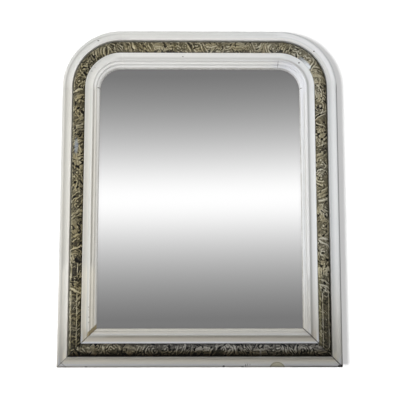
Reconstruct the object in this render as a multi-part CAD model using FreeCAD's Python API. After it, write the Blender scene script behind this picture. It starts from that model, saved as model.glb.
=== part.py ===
import FreeCAD, Part
import math
import os

# A wall mirror with rounded top corners: two painted mouldings with an ornament band between them,
# built on a half-lapped carcass, with a glass, a nailed board back and two hanging rings.
# Millimetres. The front faces -Y, +Z is up, and the origin is the middle of the back, where the
# boards lie against the wall. Sections are drawn as (across, height): across counts inwards from
# the frame's outer edge, height counts forwards from the front of the carcass.

Vector = FreeCAD.Vector

# Whole frame
overall_width = 660.0
overall_height = 800.0
corner_radius = 139.0         # outer edge of the rounded top corners
corner_leg = 4.0              # straight stretch at each end of a rounded corner piece
joint_gap = 0.3               # glue line between neighbouring lengths of moulding
overrun = 5.0                 # how far a cutting shape reaches past what it cuts

# Depths, from the wall forwards
board_thickness = 8.0
carcass_thickness = 20.0
glass_thickness = 3.0

# Widths, from the outer edge to the sight edge
outer_width = 24.0
band_width = 31.0
inner_width = 32.0
rebate_lip = 7.0              # how far the inner moulding reaches over the glass
carcass_setback = 2.0         # carcass behind the outer moulding's edge, at the sides and top

# Outer moulding: rounded lip at the edge, shallow hollow, raised arris beside the band
moulding_height = 26.0        # both arrises
arris_flat = 1.5
outer_side_height = 20.0
edge_round_radius = 4.6
lip_width = 9.2
lip_fall = 1.2                # from the lip's crest to its inner end
outer_hollow_dip = 1.4        # floor of the hollow, below the lip's inner end
outer_hollow_floor_share = 0.43

# Ornament band: half-round, lower than the arrises on either side
band_gap = 0.3                # between the band and the mouldings beside it
band_edge_height = 14.0
band_crown_height = 24.0

# Inner moulding: arris, shallow hollow, crest, two steps and a rounded sight edge
inner_hollow_width = 15.8
inner_hollow_dip = 1.8        # floor of the hollow, below its inner end
inner_hollow_floor_share = 0.48
crest_flat = 1.4              # between the hollow and the first step
first_step = 6.0
fillet_width = 4.2            # between the steps
fillet_fall = 1.0
second_step = 7.0
step_lean = 2.0               # how far each step slopes out
sight_bead_rise = 5.0
sight_bead_bulge = 1.2
sight_edge_height = 5.0

# Half-laps of the carcass and their pegs
lap_share = 0.5               # of the carcass thickness that the stile keeps
peg_radius = 4.0
peg_shares = (0.3, 0.7)       # of the lap's diagonal, from the rebate's corner

# Glass in its rebate, and the blocks behind it
glass_play = 1.5              # at the sides and top; the glass stands on the bottom rail
block_length = 40.0
block_width = 8.0
block_depth = 11.0
stile_block_shares = (-0.62, 0.0, 0.62)     # of the rebate's half height
rail_block_shares = (-0.45, 0.45)           # of the rebate's half width

# Back boards and their nails
board_names = ("back_board_left", "back_board_centre", "back_board_right")
board_overlap = 30.0          # of the boards on the carcass, all round
board_gap = 0.6
nail_line_share = 0.5         # of the overlap, from the boards' edge
board_end_nail_shares = (0.22, 0.78)        # of a board's width
board_edge_nail_shares = (-0.5, 0.0, 0.5)   # of the boards' half height
nail_length = 23.0
nail_radius = 1.1
nail_tip_length = 3.0
nail_head_radius = 2.6
nail_head_thickness = 0.9
nail_sink = 0.2               # of a head, below the boards' back
fastener_clearance = 0.1      # round a peg, nail or screw in its hole

# Strap hangers on the stiles
hanger_height = 210.0         # of the eyes, above the middle of the mirror
plate_width = 16.0
plate_length = 48.0
plate_thickness = 1.5
plate_corner_radius = 3.0
screw_shares = (0.3, 0.78)    # of the plate's length, from the eye
screw_radius = 1.6
screw_length = 15.0
screw_tip_length = 4.0
screw_head_radius = 3.2
screw_slot_width = 0.8
screw_slot_depth = 0.7

# Hanging rings: a straight bar in the eye, two bends, two legs and a half round
ring_wire_radius = 1.75
eye_clearance = 0.3           # round the ring's bar
ring_play = 0.6               # at each end of the eye
ring_bend_radius = 5.0
ring_leg = 4.0

# Places worked out from the sizes
half_width = overall_width / 2
half_height = overall_height / 2
corner_x = half_width - corner_radius
corner_z = half_height - corner_radius
frame_width = outer_width + band_width + inner_width
carcass_reach = frame_width - rebate_lip
rebate_half_width = half_width - carcass_reach
rebate_half_height = half_height - carcass_reach
carcass_back = -board_thickness
carcass_front = carcass_back - carcass_thickness
lap_face = carcass_back - carcass_thickness * lap_share
boards_edge = carcass_reach - board_overlap
boards_half_width = half_width - boards_edge
boards_half_height = half_height - boards_edge
nail_line = boards_edge + board_overlap * nail_line_share
board_count = len(board_names)
board_width = (2 * boards_half_width - (board_count - 1) * board_gap) / board_count
hanger_x = half_width - (carcass_setback + boards_edge) / 2
eye_radius = ring_wire_radius + eye_clearance + plate_thickness
eye_y = carcass_back + eye_radius
plate_face = carcass_back + plate_thickness

turn_axis = Vector(0, 1, 0)
into_frame = Vector(0, -1, 0)
across_axis = Vector(1, 0, 0)
middle = Vector(0, 0, 0)
quarter_turn = 90.0
half_turn = 180.0


def box(x_span, y_span, z_span):
    """Block between two places on each axis."""
    lengths = [max(span) - min(span) for span in (x_span, y_span, z_span)]
    return Part.makeBox(*lengths, Vector(min(x_span), min(y_span), min(z_span)))


def mirrored(shape):
    """The right-hand twin of a left-hand piece."""
    return shape.mirror(middle, across_axis)


def section_point(place):
    across, height = place
    return Vector(across, -height, 0)


def section(start, steps):
    """Face of a moulding's section: one place for a straight side, two for an arc."""
    edges = []
    here = section_point(start)
    for step in steps:
        there = section_point(step[-1])
        if len(step) == 1:
            edges.append(Part.LineSegment(here, there).toShape())
        else:
            edges.append(Part.Arc(here, section_point(step[0]), there).toShape())
        here = there
    return Part.Face(Part.Wire(edges))


def sweep(face, stretches):
    """Solid of a face carried along straight stretches (vectors) and turns (pivot, angle)."""
    solids = []
    for stretch in stretches:
        if isinstance(stretch, Vector):
            solids.append(face.extrude(stretch))
            face = face.translated(stretch)
        else:
            pivot, angle = stretch
            solids.append(face.revolve(pivot, turn_axis, angle))
            face = face.rotated(pivot, turn_axis, angle)
    return solids[0].fuse(solids[1:]).removeSplitter()


def outer_section():
    round_rise = edge_round_radius * math.sqrt(0.5)
    crest_height = outer_side_height + edge_round_radius
    lip_run = lip_width - edge_round_radius
    lip_radius = (lip_run ** 2 + lip_fall ** 2) / (2 * lip_fall)
    lip_middle_fall = lip_radius - math.sqrt(lip_radius ** 2 - (lip_run / 2) ** 2)
    lip_middle = edge_round_radius + lip_run / 2
    lip_end_height = crest_height - lip_fall
    arris = outer_width - arris_flat
    hollow_floor = lip_width + (arris - lip_width) * outer_hollow_floor_share
    return section((0, 0), [
        [(0, outer_side_height)],
        [(edge_round_radius - round_rise, outer_side_height + round_rise), (edge_round_radius, crest_height)],
        [(lip_middle, crest_height - lip_middle_fall), (lip_width, lip_end_height)],
        [(hollow_floor, lip_end_height - outer_hollow_dip), (arris, moulding_height)],
        [(outer_width, moulding_height)],
        [(outer_width, 0)],
        [(0, 0)],
    ])


def band_section():
    start = outer_width + band_gap
    end = outer_width + band_width - band_gap
    return section((start, 0), [
        [(start, band_edge_height)],
        [((start + end) / 2, band_crown_height), (end, band_edge_height)],
        [(end, 0)],
        [(start, 0)],
    ])


def inner_section():
    start = outer_width + band_width
    hollow_start = start + arris_flat
    hollow_floor = hollow_start + inner_hollow_width * inner_hollow_floor_share
    hollow_end = hollow_start + inner_hollow_width
    crest_end = hollow_end + crest_flat
    fillet_start = crest_end + step_lean
    fillet_end = fillet_start + fillet_width
    bead_start = fillet_end + step_lean
    bead_height = sight_edge_height + sight_bead_rise
    fillet_end_height = bead_height + second_step
    fillet_start_height = fillet_end_height + fillet_fall
    crest_height = fillet_start_height + first_step
    bead_middle = (bead_start + frame_width) / 2
    bead_crown = (bead_height + sight_edge_height) / 2 + sight_bead_bulge
    return section((start, 0), [
        [(start, moulding_height)],
        [(hollow_start, moulding_height)],
        [(hollow_floor, crest_height - inner_hollow_dip), (hollow_end, crest_height)],
        [(crest_end, crest_height)],
        [(fillet_start, fillet_start_height)],
        [(fillet_end, fillet_end_height)],
        [(bead_start, bead_height)],
        [(bead_middle, bead_crown), (frame_width, sight_edge_height)],
        [(frame_width, 0)],
        [(start, 0)],
    ])


def straight_run(face, start, end, mitre_start, mitre_end):
    """Length of moulding along Z, its outer edge on the Z axis, with square or mitred ends."""
    run = face.extrude(Vector(0, 0, end - start)).translated(Vector(0, 0, start))
    far = frame_width + overrun
    ease = joint_gap / 2
    corners = [
        (-overrun, start + (ease - overrun) * mitre_start),
        (far, start + (ease + far) * mitre_start),
        (far, end - (ease + far) * mitre_end),
        (-overrun, end - (ease - overrun) * mitre_end),
    ]
    outline = Part.makePolygon([Vector(x, overrun, z) for x, z in corners + corners[:1]])
    keep = Part.Face(outline).extrude(into_frame * (moulding_height + 2 * overrun))
    return run.common(keep)


def moulding_set(name, face):
    """The six lengths of one moulding, seated on the front of the carcass."""
    side_top = corner_z - corner_leg - joint_gap
    top_end = corner_x - corner_leg - joint_gap
    left = straight_run(face, -half_height, side_top, True, False)
    left.translate(Vector(-half_width, carcass_front, 0))
    bottom = straight_run(face, -half_width, half_width, True, True)
    bottom.rotate(middle, turn_axis, -quarter_turn)
    bottom.translate(Vector(0, carcass_front, -half_height))
    top = straight_run(face, -top_end, top_end, False, False)
    top.rotate(middle, turn_axis, quarter_turn)
    top.translate(Vector(0, carcass_front, half_height))
    corner_start = face.translated(Vector(-half_width, carcass_front, corner_z - corner_leg))
    corner = sweep(corner_start, [
        Vector(0, 0, corner_leg),
        (Vector(-corner_x, 0, corner_z), quarter_turn),
        Vector(corner_leg, 0, 0),
    ])
    return {
        name + "_left": left,
        name + "_right": mirrored(left),
        name + "_top": top,
        name + "_bottom": bottom,
        name + "_corner_left": corner,
        name + "_corner_right": mirrored(corner),
    }


def carcass_blank():
    """The carcass in one piece, before it is parted into stiles and rails and opened."""
    edge = half_width - carcass_setback
    top = half_height - carcass_setback
    radius = corner_radius - carcass_setback
    slant = Vector(-radius, 0, radius).normalize() * radius
    left_mid = Vector(-corner_x, 0, corner_z) + slant
    right_mid = Vector(-left_mid.x, 0, left_mid.z)
    left_foot = Vector(-edge, 0, -half_height)
    right_foot = Vector(edge, 0, -half_height)
    left_spring = Vector(-edge, 0, corner_z)
    right_spring = Vector(edge, 0, corner_z)
    left_top = Vector(-corner_x, 0, top)
    right_top = Vector(corner_x, 0, top)
    edges = [
        Part.LineSegment(left_foot, left_spring),
        Part.Arc(left_spring, left_mid, left_top),
        Part.LineSegment(left_top, right_top),
        Part.Arc(right_top, right_mid, right_spring),
        Part.LineSegment(right_spring, right_foot),
        Part.LineSegment(right_foot, left_foot),
    ]
    outline = Part.Wire([edge.toShape() for edge in edges])
    blank = Part.Face(outline).extrude(into_frame * carcass_thickness)
    return blank.translated(Vector(0, carcass_back, 0))


def carcass(holes):
    """Stiles and rails, half-lapped at the corners, the stiles behind the rails there."""
    blank = carcass_blank()
    depth = (carcass_back + overrun, carcass_front - overrun)
    front_half = (lap_face, carcass_front - overrun)
    back_half = (carcass_back + overrun, lap_face)
    out_x = half_width + overrun
    out_z = half_height + overrun
    all_x = (-out_x, out_x)
    all_z = (-out_z, out_z)
    left_x = (-out_x, -rebate_half_width)
    right_x = (rebate_half_width, out_x)
    top_z = (rebate_half_height, out_z)
    bottom_z = (-out_z, -rebate_half_height)
    stile_laps = [box(all_x, front_half, top_z), box(all_x, front_half, bottom_z)]
    rail_laps = [box(left_x, back_half, all_z), box(right_x, back_half, all_z)]
    return {
        "carcass_stile_left": blank.common(box(left_x, depth, all_z)).cut(stile_laps + holes),
        "carcass_stile_right": blank.common(box(right_x, depth, all_z)).cut(stile_laps + holes),
        "carcass_rail_top": blank.common(box(all_x, depth, top_z)).cut(rail_laps + holes),
        "carcass_rail_bottom": blank.common(box(all_x, depth, bottom_z)).cut(rail_laps + holes),
    }


def peg_places():
    """Two places on the diagonal of each half-lap, as (x, z)."""
    rebate_corner = Vector(rebate_half_width, 0, rebate_half_height)
    turn_centre = Vector(corner_x, 0, corner_z)
    outward = (rebate_corner - turn_centre).normalize()
    top_diagonal = corner_radius - carcass_setback - (rebate_corner - turn_centre).Length
    foot_diagonal = Vector(carcass_reach - carcass_setback, 0, carcass_reach).Length
    places = []
    for end, diagonal in ((1, top_diagonal), (-1, foot_diagonal)):
        for share in peg_shares:
            peg = rebate_corner + outward * diagonal * share
            places += [(peg.x, end * peg.z), (-peg.x, end * peg.z)]
    return places


def pegs(ease):
    """Pegs through the half-laps, or with some ease their holes."""
    radius = peg_radius + ease
    return [
        Part.makeCylinder(radius, carcass_thickness, Vector(x, carcass_back, z), into_frame)
        for x, z in peg_places()
    ]


def mirror_glass():
    side = rebate_half_width - glass_play
    top = rebate_half_height - glass_play
    depth = (carcass_front, carcass_front + glass_thickness)
    return box((-side, side), depth, (-rebate_half_height, top))


def glass_blocks():
    """Blocks glued to the carcass, tight behind the glass."""
    glass_back = carcass_front + glass_thickness
    depth = (glass_back, glass_back + block_depth)
    half_length = block_length / 2
    blocks = []
    for side in (-1, 1):
        x_span = (side * rebate_half_width, side * (rebate_half_width - block_width))
        for share in stile_block_shares:
            z = rebate_half_height * share
            blocks.append(box(x_span, depth, (z - half_length, z + half_length)))
        z_span = (side * rebate_half_height, side * (rebate_half_height - block_width))
        for share in rail_block_shares:
            x = rebate_half_width * share
            blocks.append(box((x - half_length, x + half_length), depth, z_span))
    return blocks


def board_start(index):
    """Left edge of a back board."""
    return -boards_half_width + index * (board_width + board_gap)


def nail_places():
    """Nails at the ends of every board and along the boards' outer edges, as (x, z)."""
    end_z = half_height - nail_line
    edge_x = half_width - nail_line
    places = []
    for index in range(board_count):
        for share in board_end_nail_shares:
            x = board_start(index) + board_width * share
            places += [(x, end_z), (x, -end_z)]
    for share in board_edge_nail_shares:
        z = boards_half_height * share
        places += [(edge_x, z), (-edge_x, z)]
    return places


def nail(x, z):
    seat = -nail_sink - nail_head_thickness
    shank_length = nail_length - nail_head_thickness - nail_tip_length
    tip_start = seat - shank_length
    head = Part.makeCylinder(nail_head_radius, nail_head_thickness, Vector(x, -nail_sink, z), into_frame)
    shank = Part.makeCylinder(nail_radius, shank_length, Vector(x, seat, z), into_frame)
    tip = Part.makeCone(nail_radius, 0, nail_tip_length, Vector(x, tip_start, z), into_frame)
    return head.fuse([shank, tip]).removeSplitter()


def nail_hole(x, z):
    seat_depth = nail_sink + nail_head_thickness
    sink = Part.makeCylinder(
        nail_head_radius + fastener_clearance, overrun + seat_depth, Vector(x, overrun, z), into_frame)
    bore = Part.makeCylinder(
        nail_radius + fastener_clearance, nail_length + nail_sink + fastener_clearance,
        Vector(x, 0, z), into_frame)
    return sink.fuse(bore)


def back_boards(holes):
    depth = (0, carcass_back)
    height = (-boards_half_height, boards_half_height)
    boards = {}
    for index, name in enumerate(board_names):
        start = board_start(index)
        boards[name] = box((start, start + board_width), depth, height).cut(holes)
    return boards


def screw_places():
    """Screws of the left and right hanger plates, as (x, z)."""
    drops = [plate_length * share for share in screw_shares]
    return [(side * hanger_x, hanger_height - drop) for side in (-1, 1) for drop in drops]


def screw(x, z):
    """Countersunk slotted screw, its head flush with the plate."""
    shank_length = screw_length - plate_thickness - screw_tip_length
    tip_start = carcass_back - shank_length
    head = Part.makeCone(
        screw_head_radius, screw_radius, plate_thickness, Vector(x, plate_face, z), into_frame)
    shank = Part.makeCylinder(screw_radius, shank_length, Vector(x, carcass_back, z), into_frame)
    tip = Part.makeCone(screw_radius, 0, screw_tip_length, Vector(x, tip_start, z), into_frame)
    slot_reach = screw_head_radius + overrun
    slot = box(
        (x - slot_reach, x + slot_reach),
        (plate_face - screw_slot_depth, plate_face + overrun),
        (z - screw_slot_width / 2, z + screw_slot_width / 2))
    return head.fuse([shank, tip]).removeSplitter().cut(slot)


def screw_sink(x, z):
    """Countersunk hole through a hanger plate."""
    return Part.makeCone(
        screw_head_radius + fastener_clearance, screw_radius + fastener_clearance, plate_thickness,
        Vector(x, plate_face, z), into_frame)


def screw_bore(x, z):
    """Pilot hole in a stile."""
    return Part.makeCylinder(
        screw_radius + fastener_clearance, screw_length - plate_thickness + fastener_clearance,
        Vector(x, carcass_back, z), into_frame)


def hanger_plate():
    """Left strap with rounded foot corners and its top end rolled into an eye."""
    half_plate = plate_width / 2
    strap = box(
        (-hanger_x - half_plate, -hanger_x + half_plate),
        (carcass_back, plate_face),
        (hanger_height - plate_length, hanger_height))
    foot = hanger_height - plate_length
    foot_edges = [
        edge for edge in strap.Edges
        if edge.BoundBox.ZMax < foot + plate_thickness and edge.BoundBox.XLength < plate_thickness
    ]
    strap = strap.makeFillet(plate_corner_radius, foot_edges)
    eye_start = Vector(-hanger_x - half_plate, eye_y, hanger_height)
    eye = Part.makeCylinder(eye_radius, plate_width, eye_start, across_axis)
    bore_start = eye_start - across_axis * overrun
    bore = Part.makeCylinder(
        ring_wire_radius + eye_clearance, plate_width + 2 * overrun, bore_start, across_axis)
    sinks = [screw_sink(x, z) for x, z in screw_places() if x < 0]
    return strap.fuse(eye).removeSplitter().cut([bore] + sinks)


def hanging_ring():
    """Left ring, hanging down from its eye."""
    bar = plate_width + 2 * ring_play
    bar_start = Vector(-hanger_x - bar / 2, eye_y, hanger_height)
    bar_end = Vector(-hanger_x + bar / 2, eye_y, hanger_height)
    bend_drop = Vector(0, 0, -ring_bend_radius)
    leg_drop = Vector(0, 0, -ring_leg)
    bow_centre = Vector(-hanger_x, eye_y, hanger_height) + bend_drop + leg_drop
    rim = Part.Circle(bar_start, across_axis, ring_wire_radius)
    wire_face = Part.Face(Part.Wire([rim.toShape()]))
    return sweep(wire_face, [
        across_axis * bar,
        (bar_end + bend_drop, quarter_turn),
        leg_drop,
        (bow_centre, half_turn),
        -leg_drop,
        (bar_start + bend_drop, quarter_turn),
    ])


def all_parts():
    nail_holes = [nail_hole(x, z) for x, z in nail_places()]
    screw_bores = [screw_bore(x, z) for x, z in screw_places()]
    plate = hanger_plate()
    ring = hanging_ring()
    parts = {}
    parts.update(moulding_set("outer_moulding", outer_section()))
    parts.update(moulding_set("ornament_band", band_section()))
    parts.update(moulding_set("inner_moulding", inner_section()))
    parts.update(carcass(pegs(fastener_clearance) + nail_holes + screw_bores))
    parts["lap_pegs"] = Part.makeCompound(pegs(0))
    parts["mirror_glass"] = mirror_glass()
    parts["glass_blocks"] = Part.makeCompound(glass_blocks())
    parts.update(back_boards(nail_holes))
    parts["back_board_nails"] = Part.makeCompound([nail(x, z) for x, z in nail_places()])
    parts["hanger_plate_left"] = plate
    parts["hanger_plate_right"] = mirrored(plate)
    parts["hanger_ring_left"] = ring
    parts["hanger_ring_right"] = mirrored(ring)
    parts["hanger_screws"] = Part.makeCompound([screw(x, z) for x, z in screw_places()])
    return parts


os.makedirs("parts", exist_ok=True)
for node, shape in all_parts().items():
    shape.exportStep("parts/" + node + ".step")
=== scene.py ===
import math
import random

import bpy
import numpy as np
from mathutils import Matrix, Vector


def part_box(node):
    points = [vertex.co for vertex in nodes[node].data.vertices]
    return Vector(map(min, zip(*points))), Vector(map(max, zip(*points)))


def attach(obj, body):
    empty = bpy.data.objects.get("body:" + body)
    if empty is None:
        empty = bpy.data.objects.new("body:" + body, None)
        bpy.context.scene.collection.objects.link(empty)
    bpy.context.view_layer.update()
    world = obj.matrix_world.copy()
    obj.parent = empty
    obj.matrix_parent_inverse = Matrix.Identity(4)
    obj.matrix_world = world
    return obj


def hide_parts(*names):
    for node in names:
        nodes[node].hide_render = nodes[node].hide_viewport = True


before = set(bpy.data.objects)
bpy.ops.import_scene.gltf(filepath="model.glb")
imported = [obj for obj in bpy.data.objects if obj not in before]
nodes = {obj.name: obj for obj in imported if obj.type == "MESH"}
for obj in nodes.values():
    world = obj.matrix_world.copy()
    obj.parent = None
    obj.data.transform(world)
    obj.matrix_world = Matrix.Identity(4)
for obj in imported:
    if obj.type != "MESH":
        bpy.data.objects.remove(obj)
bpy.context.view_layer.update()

# A wall mirror: off-white painted mouldings on either side of a carved and silvered ornament band.
# Places are metres in the part's own frame, front towards -Y. The carving and the marks in the paint
# are laid out in millimetres: "across" counts inwards from the frame's outer edge.

MM = 0.001


def node_box_mm(name):
    """Lowest and highest corner of a node, in millimetres."""
    low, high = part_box(name)
    return low / MM, high / MM


# Sizes of the frame, in millimetres
outer_low, outer_high = node_box_mm("outer_moulding_left")
corner_low, corner_high = node_box_mm("outer_moulding_corner_left")
band_low, band_high = node_box_mm("ornament_band_left")
inner_low, inner_high = node_box_mm("inner_moulding_left")
half_width = -outer_low.x
half_height = corner_high.z
corner_leg = 4.0                              # straight end of a corner piece
corner_radius = corner_high.x - corner_low.x - corner_leg
corner_x = half_width - corner_radius
corner_z = half_height - corner_radius
seat_y = band_high.y                          # front of the carcass, where the mouldings are seated
outer_arris = outer_high.x - outer_low.x
band_start = band_low.x - outer_low.x
band_end = band_high.x - outer_low.x
inner_arris = inner_low.x - outer_low.x
sight_edge = inner_high.x - outer_low.x

# Half-round that the band is carved from: heights above the seat, a little over the plain solid's
band_edge_height = 16.5
crown_lift = 2.0
band_crown_height = seat_y - band_low.y + crown_lift
band_middle = (band_start + band_end) / 2
half_chord = (band_end - band_start) / 2
crown_rise = band_crown_height - band_edge_height
round_radius = (half_chord ** 2 + crown_rise ** 2) / (2 * crown_rise)
round_angle = math.asin(half_chord / round_radius)
round_reach = round_radius * round_angle      # from the crown to an edge, along the half-round
mitre_ease = 0.15


class Net:
    """Short calls that add shader nodes to a tree and wire them."""

    def __init__(self, tree):
        self.tree = tree

    def fill(self, socket, value):
        if isinstance(value, bpy.types.NodeSocket):
            self.tree.links.new(value, socket)
        else:
            socket.default_value = value

    def add(self, kind, inputs=None, **settings):
        """Outputs of a new node, its settings made and its inputs set or wired."""
        node = self.tree.nodes.new(kind)
        for name, value in settings.items():
            setattr(node, name, value)
        for name, value in (inputs or {}).items():
            self.fill(node.inputs[name], value)
        return node.outputs

    def use(self, group, inputs):
        """Outputs of a shared effect."""
        return self.add("ShaderNodeGroup", inputs, node_tree=group)

    def calc(self, operation, first, second=0.0):
        return self.add("ShaderNodeMath", {0: first, 1: second}, operation=operation)[0]

    def times(self, first, *others):
        for other in others:
            first = self.calc("MULTIPLY", first, other)
        return first

    def plus(self, first, *others):
        for other in others:
            first = self.calc("ADD", first, other)
        return first

    def less(self, first, second):
        return self.calc("SUBTRACT", first, second)

    def most(self, first, *others):
        for other in others:
            first = self.calc("MAXIMUM", first, other)
        return first

    def blend(self, amount, first, second):
        """Mix of two colours."""
        return self.add("ShaderNodeMix", {0: amount, 6: first, 7: second}, data_type="RGBA")[2]

    def ease(self, value, start, end):
        """0 below start, 1 above end, smooth between."""
        inputs = {"Value": value, "From Min": start, "From Max": end}
        return self.add("ShaderNodeMapRange", inputs, interpolation_type="SMOOTHSTEP")[0]

    def below(self, value, start, end):
        """1 below start, 0 above end, smooth between."""
        return self.less(1.0, self.ease(value, start, end))

    def spread(self, value, low, high):
        """A 0 to 1 value spread between two values."""
        return self.add("ShaderNodeMapRange", {"Value": value, "To Min": low, "To Max": high})[0]

    def near(self, value, place, reach):
        """1 at a place along a value, fading to 0 at its reach on either side."""
        return self.below(self.calc("ABSOLUTE", self.less(value, place)), 0.0, reach)

    def within(self, value, bounds, soft):
        """1 between two bounds, fading to 0 over a soft edge outside them."""
        low, high = bounds
        return self.times(self.ease(value, low - soft, low), self.below(value, high, high + soft))

    def noise(self, place, scale, detail=2.0, rough=0.5):
        inputs = {"Vector": place, "Scale": scale, "Detail": detail, "Roughness": rough}
        return self.add("ShaderNodeTexNoise", inputs)["Fac"]

    def axes(self, place):
        return self.add("ShaderNodeSeparateXYZ", {0: place})

    def axes_mm(self, place):
        """X, Y and Z of a place, in millimetres."""
        inputs = {0: place, "Scale": 1 / MM}
        return self.axes(self.add("ShaderNodeVectorMath", inputs, operation="SCALE")[0])

    def ramp(self, value, stops):
        """Colour that runs through stops (position, colour) as a value rises."""
        node = self.tree.nodes.new("ShaderNodeValToRGB")
        self.fill(node.inputs["Fac"], value)
        elements = node.color_ramp.elements
        while len(elements) < len(stops):
            elements.new(0.5)
        for element, (position, colour) in zip(elements, stops):
            element.position = position
            element.color = tone(*colour)
        return node.outputs["Color"]

    def bump(self, shader, height, strength, distance):
        inputs = {"Height": height, "Strength": strength, "Distance": distance}
        self.fill(shader.inputs["Normal"], self.add("ShaderNodeBump", inputs)[0])

    def marks(self, place, colour, table):
        """A colour with ragged spots laid over it, one for each row of a table."""
        for *sizes, stain, amount in table:
            mask = self.use(paint_spot, {"Place": place, **dict(zip(spot_sizes, sizes))})["Mask"]
            colour = self.blend(self.times(mask, amount), colour, tone(*stain))
        return colour


def tone(red, green, blue):
    """A colour written in the usual 0 to 255 steps."""
    def linear(step):
        share = step / 255
        return share / 12.92 if share <= 0.04045 else ((share + 0.055) / 1.055) ** 2.4
    return (linear(red), linear(green), linear(blue), 1.0)


def grey(level):
    return (level, level, level, 1.0)


def new_group(name, inputs, outputs):
    """An empty node group with named sockets."""
    group = bpy.data.node_groups.new(name, "ShaderNodeTree")
    for socket, kind in inputs:
        group.interface.new_socket(name=socket, in_out="INPUT", socket_type="NodeSocket" + kind)
    for socket, kind in outputs:
        group.interface.new_socket(name=socket, in_out="OUTPUT", socket_type="NodeSocket" + kind)
    source = group.nodes.new("NodeGroupInput")
    sink = group.nodes.new("NodeGroupOutput")
    return Net(group), source.outputs, sink.inputs


def new_material(name):
    material = bpy.data.materials.new(name)
    material.use_nodes = True
    net = Net(material.node_tree)
    shader = net.tree.nodes["Principled BSDF"]
    return material, net, shader, net.add("ShaderNodeTexCoord")["Object"]


# Effects that several finishes share

def frame_place_group():
    """Where a point lies on the frame: millimetres in from the outer edge, and off the foot's mitres."""
    net, given, made = new_group(
        "frame_place", [("Place", "Vector")], [("Across", "Float"), ("Mitre", "Float")])
    point = net.axes_mm(given["Place"])
    out_x = net.calc("ABSOLUTE", point["X"])
    past_x = net.less(out_x, corner_x)
    past_z = net.less(point["Z"], corner_z)
    turn = net.add("ShaderNodeCombineXYZ", {"X": net.most(past_x, 0.0), "Y": net.most(past_z, 0.0)})[0]
    reach = net.add("ShaderNodeVectorMath", {0: turn}, operation="LENGTH")["Value"]
    short = net.calc("MINIMUM", net.most(past_x, past_z), 0.0)
    from_top = net.less(corner_radius, net.plus(reach, short))
    from_foot = net.plus(point["Z"], half_height)
    from_side = net.less(half_width, out_x)
    net.fill(made["Across"], net.calc("MINIMUM", from_top, from_foot))
    net.fill(made["Mitre"], net.times(net.less(from_side, from_foot), math.sqrt(0.5)))
    return net.tree


spot_sizes = ("X", "Z", "Half width", "Half height", "Ragged", "Edge")


def spot_group():
    """Mask of a ragged spot on the front: its middle and half sizes in millimetres."""
    inputs = [("Place", "Vector"), *((size, "Float") for size in spot_sizes)]
    net, given, made = new_group("paint_spot", inputs, [("Mask", "Float")])
    point = net.axes_mm(given["Place"])
    over = net.calc("DIVIDE", net.less(point["X"], given["X"]), given["Half width"])
    up = net.calc("DIVIDE", net.less(point["Z"], given["Z"]), given["Half height"])
    away = net.calc("SQRT", net.plus(net.times(over, over), net.times(up, up)))
    grain = net.less(net.noise(given["Place"], 420.0, 3.0), 0.5)
    ragged = net.plus(away, net.times(grain, given["Ragged"]))
    start = net.less(1.0, given["Edge"])
    end = net.plus(1.0, given["Edge"])
    net.fill(made["Mask"], net.below(ragged, start, end))
    return net.tree


# Scales of the timber's figure across and along the grain
ring_scale = (16.0, 16.0, 0.9)
fibre_scale = (700.0, 700.0, 9.0)
saw_scale = (30.0, 30.0, 420.0)
cloud_scale = (9.0, 9.0, 2.2)
ring_count = 17.0


def wood_grain_group():
    """Colour and relief of sawn, aged timber with its grain along Z."""
    net, given, made = new_group("wood_grain", [
        ("Place", "Vector"), ("Pale", "Color"), ("Dark", "Color"), ("Stain", "Color"),
        ("Stain amount", "Float"),
    ], [("Color", "Color"), ("Relief", "Float"), ("Roughness", "Float")])

    def figure(scale, detail, rough=0.5):
        laid = net.add("ShaderNodeMapping", {"Vector": given["Place"], "Scale": scale})[0]
        return net.noise(laid, 1.0, detail, rough)

    rings = net.calc("FRACT", net.times(figure(ring_scale, 2.0), ring_count))
    late = net.times(net.ease(rings, 0.3, 0.9), net.below(rings, 0.9, 1.0))
    fibre = figure(fibre_scale, 3.0, 0.65)
    saw = figure(saw_scale, 1.0)
    shade = net.plus(net.times(late, 0.62), net.times(fibre, 0.5))
    clean = net.blend(net.ease(shade, 0.15, 0.95), given["Pale"], given["Dark"])
    cloud = net.ease(figure(cloud_scale, 4.0, 0.6), 0.35, 0.75)
    stain = net.times(cloud, given["Stain amount"])
    net.fill(made["Color"], net.blend(stain, clean, given["Stain"]))
    height = net.plus(net.times(fibre, 0.6), net.times(saw, 0.4))
    net.fill(made["Relief"], net.less(height, net.times(late, 0.25)))
    net.fill(made["Roughness"], net.spread(fibre, 0.6, 0.9))
    return net.tree


frame_place = frame_place_group()
paint_spot = spot_group()
wood_grain = wood_grain_group()


# Old paint. Quirks: place across the frame, reach and depth of the darkening, dirt with painted shade.
quirks = (
    (outer_arris, 1.5, 0.55), (inner_arris, 1.0, 0.45), (9.2, 1.2, 0.10), (73.9, 0.8, 0.35),
    (75.7, 1.0, 0.35), (81.9, 0.9, 0.35))
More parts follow.
